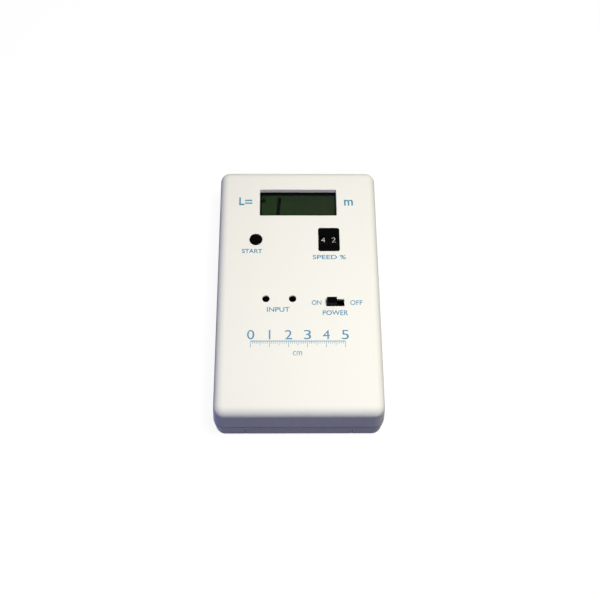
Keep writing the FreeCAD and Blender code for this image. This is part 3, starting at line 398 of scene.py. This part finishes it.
def print_legends(blue):
    """What each control does, in the pale blue print of the face."""
    legends = {
        "legend_start": ("START", (-31.1, 19.6, -19.9, 22.3), 0.018),
        "legend_speed": ("SPEED %", (7.9, 15.8, 26.3, 18.5), 0.014),
        "legend_input": ("INPUT", (-17.0, -16.3, -4.8, -13.5), 0.012),
        "legend_on": ("ON", (7.1, -12.2, 12.3, -9.4), 0.010),
        "legend_off": ("OFF", (27.8, -12.2, 34.4, -9.4), 0.010),
        "legend_power": ("POWER", (12.9, -18.3, 26.5, -15.4), 0.012),
        "legend_metres": ("m", (26.15, 50.5, 31.2, 54.4), 0.018),
        "legend_length": ("L", (-33.25, 50.7, -30.35, 55.9), 0.018),
    }
    for name, (words, box, weight) in legends.items():
        settled(name, fitted_words(words, box, face_top, weight), blue, "case")
    strokes = [rectangle(-29.95, y, -25.9, y + 0.9) for y in (51.6, 53.4)]
    low = face_top + ink_lift
    settled("legend_equals", prisms(strokes, low, low + ink), blue, "case")


# Ruler scale

def value_socket(tree, name, default, kind="NodeSocketFloat"):
    """Adds a named input to a geometry tree."""
    socket = tree.interface.new_socket(name, in_out="INPUT", socket_type=kind)
    socket.default_value = default


def tick_tree(material):
    """A row of upright strokes, longer at every fifth and longest at every tenth."""
    tree = bpy.data.node_groups.new("ruler_ticks", "GeometryNodeTree")
    tree.interface.new_socket("Geometry", in_out="OUTPUT", socket_type="NodeSocketGeometry")
    for name, default in (("Pitch", 0.001), ("Stroke", 0.0002), ("Short", 0.0012), ("Middle", 0.002),
                          ("Long", 0.003), ("Thickness", 0.00002)):
        value_socket(tree, name, default)
    value_socket(tree, "Count", 51, "NodeSocketInt")
    value_socket(tree, "Start", (0.0, 0.0, 0.0), "NodeSocketVector")
    add, link = tree.nodes.new, tree.links.new
    given = add("NodeGroupInput").outputs

    def calc(operation, first, second):
        return math_node(tree, operation, first, second)

    step = add("ShaderNodeCombineXYZ")
    link(given["Pitch"], step.inputs["X"])
    row = add("GeometryNodeMeshLine")
    link(given["Count"], row.inputs["Count"])
    link(given["Start"], row.inputs["Start Location"])
    link(step.outputs[0], row.inputs["Offset"])
    number = add("GeometryNodeInputIndex").outputs[0]
    tenth = calc("LESS_THAN", calc("MODULO", number, 10.0), 0.5)
    fifth = calc("LESS_THAN", calc("MODULO", number, 5.0), 0.5)
    more = calc("MULTIPLY", fifth, calc("SUBTRACT", given["Middle"], given["Short"]))
    most = calc("MULTIPLY", tenth, calc("SUBTRACT", given["Long"], given["Middle"]))
    height = calc("ADD", given["Short"], calc("ADD", more, most))
    stroke = add("GeometryNodeMeshCube")
    unit = add("ShaderNodeCombineXYZ")
    link(given["Stroke"], unit.inputs["X"])
    unit.inputs["Y"].default_value = 1.0
    link(given["Thickness"], unit.inputs["Z"])
    link(unit.outputs[0], stroke.inputs["Size"])
    hung = add("GeometryNodeTransform")
    link(stroke.outputs[0], hung.inputs["Geometry"])
    hung.inputs["Translation"].default_value = (0.0, -0.5, 0.0)
    scale = add("ShaderNodeCombineXYZ")
    scale.inputs["X"].default_value = 1.0
    scale.inputs["Z"].default_value = 1.0
    link(height, scale.inputs["Y"])
    placed = add("GeometryNodeInstanceOnPoints")
    link(row.outputs[0], placed.inputs["Points"])
    link(hung.outputs[0], placed.inputs["Instance"])
    link(scale.outputs[0], placed.inputs["Scale"])
    real = add("GeometryNodeRealizeInstances")
    link(placed.outputs[0], real.inputs[0])
    coated = add("GeometryNodeSetMaterial")
    coated.inputs["Material"].default_value = material
    link(real.outputs[0], coated.inputs["Geometry"])
    link(coated.outputs[0], add("NodeGroupOutput").inputs[0])
    return tree


def grown(tree, values):
    """The plain mesh that a geometry tree makes with these values of its named inputs."""
    holder = bpy.data.objects.new("grown", bpy.data.meshes.new("grown"))
    bpy.context.scene.collection.objects.link(holder)
    modifier = holder.modifiers.new("shape", "NODES")
    modifier.node_group = tree
    sockets = {item.name: item.identifier for item in tree.interface.items_tree if item.in_out == "INPUT"}
    for name, value in values.items():
        modifier[sockets[name]] = value
    holder.update_tag()
    graph = bpy.context.evaluated_depsgraph_get()
    mesh = bpy.data.meshes.new_from_object(holder.evaluated_get(graph))
    holder.modifiers.remove(modifier)
    bpy.data.objects.remove(holder)
    return mesh


def print_ruler(blue):
    """A centimetre scale across the lower part of the face."""
    line_y, line_width = -33.6, 0.4
    first_x, reach = -25.4, 50
    stroke = 0.24
    number_low, number_high, half_digit, half_one = 1.2, 6.6, 1.9, 0.4
    low = face_top + ink_lift
    values = {"Pitch": 1.0 * mm, "Stroke": stroke * mm, "Short": 1.3 * mm, "Middle": 2.2 * mm,
              "Long": 3.3 * mm, "Thickness": ink * mm, "Count": reach + 1,
              "Start": (first_x * mm, line_y * mm, (low + ink / 2) * mm)}
    settled("ruler_ticks", grown(tick_tree(blue), values), blue, "case")
    bar = rectangle(first_x - stroke / 2, line_y, first_x + reach + stroke / 2, line_y + line_width)
    settled("ruler_line", prisms([bar], low, low + ink), blue, "case")
    for number in range(reach // 10 + 1):
        middle = first_x + 10 * number
        half = half_one if number == 1 else half_digit
        box = (middle - half, line_y + number_low, middle + half, line_y + number_high)
        mesh = fitted_words(str(number), box, face_top)
        settled(f"ruler_number_{number}", mesh, blue, "case")
    unit = fitted_words("cm", (-3.1, -41.6, 1.7, -39.2), face_top)
    settled("ruler_unit", unit, blue, "case")


# Black sleeves that paint the shade in the openings

def tube(name, outlines, z0, z1, material):
    """A thin upright wall between an outer and an inner outline, of as many points each."""
    work = bmesh.new()
    outer, inner = outlines
    loops = []
    for points, z in ((outer, z0), (outer, z1), (inner, z1), (inner, z0)):
        loops.append([work.verts.new((x * mm, y * mm, z * mm)) for x, y in points])
    for index, loop in enumerate(loops):
        other = loops[(index + 1) % len(loops)]
        for step in range(len(loop)):
            after = (step + 1) % len(loop)
            work.faces.new((loop[step], loop[after], other[after], other[step]))
    bmesh.ops.recalc_face_normals(work, faces=work.faces)
    mesh = bpy.data.meshes.new(name)
    work.to_mesh(mesh)
    work.free()
    settled(name, mesh, material, "case")


def rounded_outline(middle_x, middle_y, half_x, half_y, corner, steps):
    """A rectangle with rounded corners, anticlockwise."""
    points = []
    for quarter, (side, end) in enumerate(((1, 1), (-1, 1), (-1, -1), (1, -1))):
        x = middle_x + side * (half_x - corner)
        y = middle_y + end * (half_y - corner)
        for step in range(steps + 1):
            angle = math.pi / 2 * (quarter + step / steps)
            points.append((x + corner * math.cos(angle), y + corner * math.sin(angle)))
    return points


def line_the_openings(black):
    """Thin black sleeves in the two socket holes and in the slot of the power switch, which paint the shade
    on the lower part of their walls.
    """
    low, high = 27.0, 28.7
    play, film = 0.003, 0.02
    corner_steps = 12
    openings = {
        "socket_shade_sleeve_left": (-17.6, -8.4, 2.0, 2.0, 2.0),
        "socket_shade_sleeve_right": (-3.25, -8.4, 2.0, 2.0, 2.0),
        "power_slot_shade_sleeve": (19.78, -10.75, 4.85, 2.1, 0.5),
    }
    for name, (x, y, half_x, half_y, corner) in openings.items():
        outlines = [rounded_outline(x, y, half_x - inset, half_y - inset, corner - inset, corner_steps)
                    for inset in (play, play + film)]
        tube(name, outlines, low, high, black)


# Display

def mask_the_pane(black):
    """Black print on the underside of the pane, around what shows of the display; it also paints the shade
    band that the window's walls throw onto the display.
    """
    left, near, right, far = -22.7, 42.6, 23.3, 62.6
    inner_left, inner_near, inner_right, inner_far = -20.6, 46.2, 21.05, 59.7
    # The frame is partly a print and partly painted shade along the window's edges.
    strips = [rectangle(left, near, right, inner_near), rectangle(left, inner_far, right, far),
              rectangle(left, inner_near, inner_left, inner_far),
              rectangle(inner_right, inner_near, right, inner_far)]
    high = pane_under - ink_lift
    settled("display_mask_and_shade", prisms(strips, high - ink, high), black, "case")


def stroke_shapes(middle_x, middle_y, names, half, reach, height, bevel, nick):
    """Outlines of the named strokes of a seven stroke digit that leans to the right."""
    lean = 0.078
    sides = {"upper left": (-reach, 1), "upper right": (reach, 1),
             "lower left": (-reach, -1), "lower right": (reach, -1)}
    levels = {"top": height, "middle": 0.0, "foot": -height}
    shapes = []
    for name in names:
        if name in sides:
            x, up = sides[name]
            low, high = nick, height - nick
            points = [(x - half, low + bevel), (x, low), (x + half, low + bevel),
                      (x + half, high - bevel), (x, high), (x - half, high - bevel)]
            if up < 0:
                points = [(px, -py) for px, py in points[::-1]]
        else:
            y = levels[name]
            near, far = -reach + nick, reach - nick
            points = [(near, y), (near + bevel, y - half), (far - bevel, y - half),
                      (far, y), (far - bevel, y + half), (near + bevel, y + half)]
        shapes.append([(middle_x + px + lean * py, middle_y + py) for px, py in points])
    return shapes


def show_reading(dark, clear):
    """The reading 1: its strokes are dark, and those of the three digits after it barely show."""
    low = display_top + ink_lift
    first = stroke_shapes(-10.95, 52.3, ("upper right", "lower right"), 1.02, 0.0, 6.2, 0.2, 0.0)
    settled("reading_segments", prisms(first, low, low + ink), dark, "case")
    mark = [(-20.6, 55.0), (-18.25, 55.0), (-18.25, 56.3), (-18.95, 57.2),
            (-19.45, 58.6), (-20.05, 57.2), (-20.6, 56.3)]
    settled("reading_mark", prisms([mark], low, low + ink), dark, "case")
    every = ("upper left", "upper right", "lower left", "lower right", "top", "middle", "foot")
    empty = []
    for middle_x in (-4.4, 5.8, 16.0):
        empty += stroke_shapes(middle_x, 52.3, every, 0.74, 3.1, 5.9, 0.74, 0.12)
    settled("reading_unlit", prisms(empty, low, low + ink), clear, "case")


# Digits around the thumbwheels

def wrapped_digit(digit, middle_x, angle):
    """A digit bent around a drum, at an angle from the top towards the display end."""
    mesh, size = word_mesh(str(digit), -0.022)
    height = 3.3
    width = 1.1 if digit == 1 else 2.25
    grow = Matrix.Diagonal((width / size.x, height / size.y, ink / size.z, 1.0))
    mesh.transform(Matrix.Translation((-width / 2, -height / 2, 0.0)) @ grow)
    work = bmesh.new()
    work.from_mesh(mesh)
    bpy.data.meshes.remove(mesh)
    steps = 14
    for step in range(1, steps):
        level = height * (step / steps - 0.5)
        everything = work.verts[:] + work.edges[:] + work.faces[:]
        bmesh.ops.bisect_plane(work, geom=everything, plane_co=(0, level, 0), plane_no=(0, 1, 0))
    axis_y, axis_z = wheel_axis
    for vertex in work.verts:
        radius = drum_radius + ink_lift * 3 + vertex.co.z
        turn = angle + vertex.co.y / drum_radius
        vertex.co = Vector((middle_x + vertex.co.x, axis_y + radius * math.sin(turn),
                            axis_z + radius * math.cos(turn))) * mm
    return work


def number_wheels(white):
    """Ten digits around each thumbwheel."""
    for wheel, middle_x in wheel_middles.items():
        whole = bmesh.new()
        for digit in range(10):
            angle = math.radians(36.0 * (digit - shown_digits[wheel]))
            work = wrapped_digit(digit, middle_x, angle)
            part = bpy.data.meshes.new("digit")
            work.to_mesh(part)
            work.free()
            whole.from_mesh(part)
            bpy.data.meshes.remove(part)
        mesh = bpy.data.meshes.new("digits")
        whole.to_mesh(mesh)
        whole.free()
        settled(f"{wheel}_digits", mesh, white, wheel)


# Floor, light and camera

def lay_floor():
    """A white floor that keeps the part's soft shadow. From below it is clear, and it lights the base."""
    half, near, far, level = 3.0, -2.5, 3.5, -0.0001
    corners = [(x, y, level) for x, y in rectangle(-half, near, half, far)]
    mesh = bpy.data.meshes.new("floor")
    mesh.from_pydata(corners, [], [(0, 1, 2, 3)])
    material = bpy.data.materials.new("floor_paint")
    material.use_nodes = True
    tree = material.node_tree
    tree.nodes.clear()

    def shader(kind, strength=None, colour=None):
        made = tree.nodes.new(kind)
        if colour:
            made.inputs["Color"].default_value = colour
        if strength is not None:
            made.inputs["Strength"].default_value = strength
        return made.outputs[0]

    def joined(kind, first, second, factor=None):
        made = tree.nodes.new(kind)
        if factor is not None:
            tree.links.new(factor, made.inputs[0])
        tree.links.new(first, made.inputs[-2])
        tree.links.new(second, made.inputs[-1])
        return made.outputs[0]

    paint = shader("ShaderNodeBsdfDiffuse", colour=(0.14, 0.14, 0.14, 1.0))
    seen = joined("ShaderNodeAddShader", paint, shader("ShaderNodeEmission", 0.92))
    dim = shader("ShaderNodeBsdfDiffuse", colour=(0.034, 0.035, 0.05, 1.0))
    table = joined("ShaderNodeMixShader", dim, shader("ShaderNodeEmission", 0.75), under_the_part(tree))
    above = joined("ShaderNodeMixShader", table, seen, seen_by_eye(tree))
    clear = shader("ShaderNodeBsdfTransparent")
    behind = tree.nodes.new("ShaderNodeNewGeometry").outputs["Backfacing"]
    surface = joined("ShaderNodeMixShader", above, clear, behind)
    tree.links.new(surface, tree.nodes.new("ShaderNodeOutputMaterial").inputs["Surface"])
    mesh_object("floor", mesh, material)


def under_the_part(tree):
    """1 on the patch of floor that the base covers, and close under any piece pulled out beyond it."""
    half_width, half_length, close, most_sky = 0.0433, 0.0733, 0.0008, 0.3
    split = tree.nodes.new("ShaderNodeSeparateXYZ")
    tree.links.new(tree.nodes.new("ShaderNodeTexCoord").outputs["Object"], split.inputs[0])
    across, along = [math_node(tree, "LESS_THAN", math_node(tree, "ABSOLUTE", split.outputs[axis]), reach)
                     for axis, reach in (("X", half_width), ("Y", half_length))]
    sky = tree.nodes.new("ShaderNodeAmbientOcclusion")
    sky.samples = 8
    sky.inputs["Distance"].default_value = close
    covered = math_node(tree, "LESS_THAN", sky.outputs["AO"], most_sky)
    return math_node(tree, "MAXIMUM", math_node(tree, "MULTIPLY", across, along), covered)


def seen_by_eye(tree):
    """1 where the ray comes from the camera, straight, off a shiny surface or through glass."""
    path = tree.nodes.new("ShaderNodeLightPath")
    total = path.outputs["Is Camera Ray"]
    for name in ("Is Glossy Ray", "Is Transmission Ray"):
        total = math_node(tree, "MAXIMUM", total, path.outputs[name])
    return total


def surround():
    """A faint even light around the part, which the eye sees as plain white."""
    world = bpy.data.worlds.new("studio")
    bpy.context.scene.world = world
    world.use_nodes = True
    tree = world.node_tree
    tree.nodes.clear()
    soft = tree.nodes.new("ShaderNodeBackground")
    soft.inputs["Color"].default_value = (0.85, 0.88, 1.0, 1.0)
    soft.inputs["Strength"].default_value = 0.035
    white = tree.nodes.new("ShaderNodeBackground")
    white.inputs["Strength"].default_value = 1.0
    white.inputs["Color"].default_value = (1.0, 1.0, 1.0, 1.0)
    choice = tree.nodes.new("ShaderNodeMixShader")
    tree.links.new(seen_by_eye(tree), choice.inputs[0])
    tree.links.new(soft.outputs[0], choice.inputs[1])
    tree.links.new(white.outputs[0], choice.inputs[2])
    tree.links.new(choice.outputs[0], tree.nodes.new("ShaderNodeOutputWorld").inputs["Surface"])


def soft_lamp(name, place, aim, size, power, colour):
    """A round lamp that faces the aim."""
    lamp = bpy.data.lights.new(name, "AREA")
    lamp.shape = "DISK"
    lamp.size = size
    lamp.energy = power
    lamp.color = colour
    holder = bpy.data.objects.new(name, lamp)
    bpy.context.scene.collection.objects.link(holder)
    holder.location = place
    holder.rotation_euler = (Vector(aim) - Vector(place)).to_track_quat("-Z", "Y").to_euler()


def light_the_part():
    """A warm lamp nearly overhead, and weak fills from three sides."""
    middle = (0, 0, 0.01)
    wide = 0.5
    soft_lamp("overhead", (0.10, -0.056, 0.46), middle, 0.22, 2.08, (1.0, 0.985, 0.935))
    soft_lamp("left_fill", (-0.75, -0.16, 0.18), middle, wide, 1.15, (0.36, 0.42, 1.0))
    soft_lamp("near_fill", (0.0, -0.80, 0.20), middle, wide, 0.53, (0.10, 0.12, 1.0))
    soft_lamp("rear_fill", (0.25, 0.80, 0.40), middle, wide, 1.2, (1.0, 0.98, 0.95))


def set_camera():
    """The viewpoint of the photograph: a long lens over the near end, looking down."""
    tilt = math.radians(63.556)
    turn = 0.03023
    lean = -0.02668
    distance = 0.544165
    focal_pixels, picture_pixels = 948.56, 600
    aim = Vector((0.00106305, 0.00569422, 0.0))
    down = Vector((0, math.cos(tilt), -math.sin(tilt)))
    over = Vector((0, math.sin(tilt), math.cos(tilt)))
    side = Vector((1, 0, 0))
    right = math.cos(lean) * side - math.sin(lean) * over
    above = math.sin(lean) * side + math.cos(lean) * over
    place = aim - distance * down
    unturn = Matrix.Rotation(-turn, 3, "Z")
    right, above, back, place = [unturn @ item for item in (right, above, -down, place)]
    camera = bpy.data.cameras.new("camera")
    camera.sensor_fit = "HORIZONTAL"
    camera.sensor_width = 36.0
    camera.lens = camera.sensor_width * focal_pixels / picture_pixels
    camera.clip_start = 0.01
    camera.clip_end = 20.0
    holder = bpy.data.objects.new("camera", camera)
    bpy.context.scene.collection.objects.link(holder)
    matrix = Matrix((right, above, back)).transposed().to_4x4()
    matrix.translation = place
    holder.matrix_world = matrix
    bpy.context.scene.camera = holder


dress_nodes(slot_materials())
blue_ink = ink_finish("legend_ink", srgb(72, 138, 172))
black_ink = ink_finish("mask_and_shade_ink", srgb(5, 5, 6), 0.5, 0.03)
white_ink = ink_finish("digit_ink", srgb(230, 230, 228))
segment_dark = ink_finish("segment_dark", srgb(4, 5, 4), 0.5, 0.03)
segment_clear = film_finish("segment_clear", 0.93)
print_legends(blue_ink)
print_ruler(blue_ink)
# A black sleeve material that stands in for the shade inside the openings: painted shade.
opening_shade_black = moulded("opening_shade_black", srgb(9, 9, 9), 0.4, gloss=0.25, spots=0.1)
line_the_openings(opening_shade_black)
mask_the_pane(black_ink)
show_reading(segment_dark, segment_clear)
number_wheels(white_ink)
lay_floor()
surround()
light_the_part()
set_camera()

scene = bpy.context.scene
scene.view_settings.view_transform = "Standard"
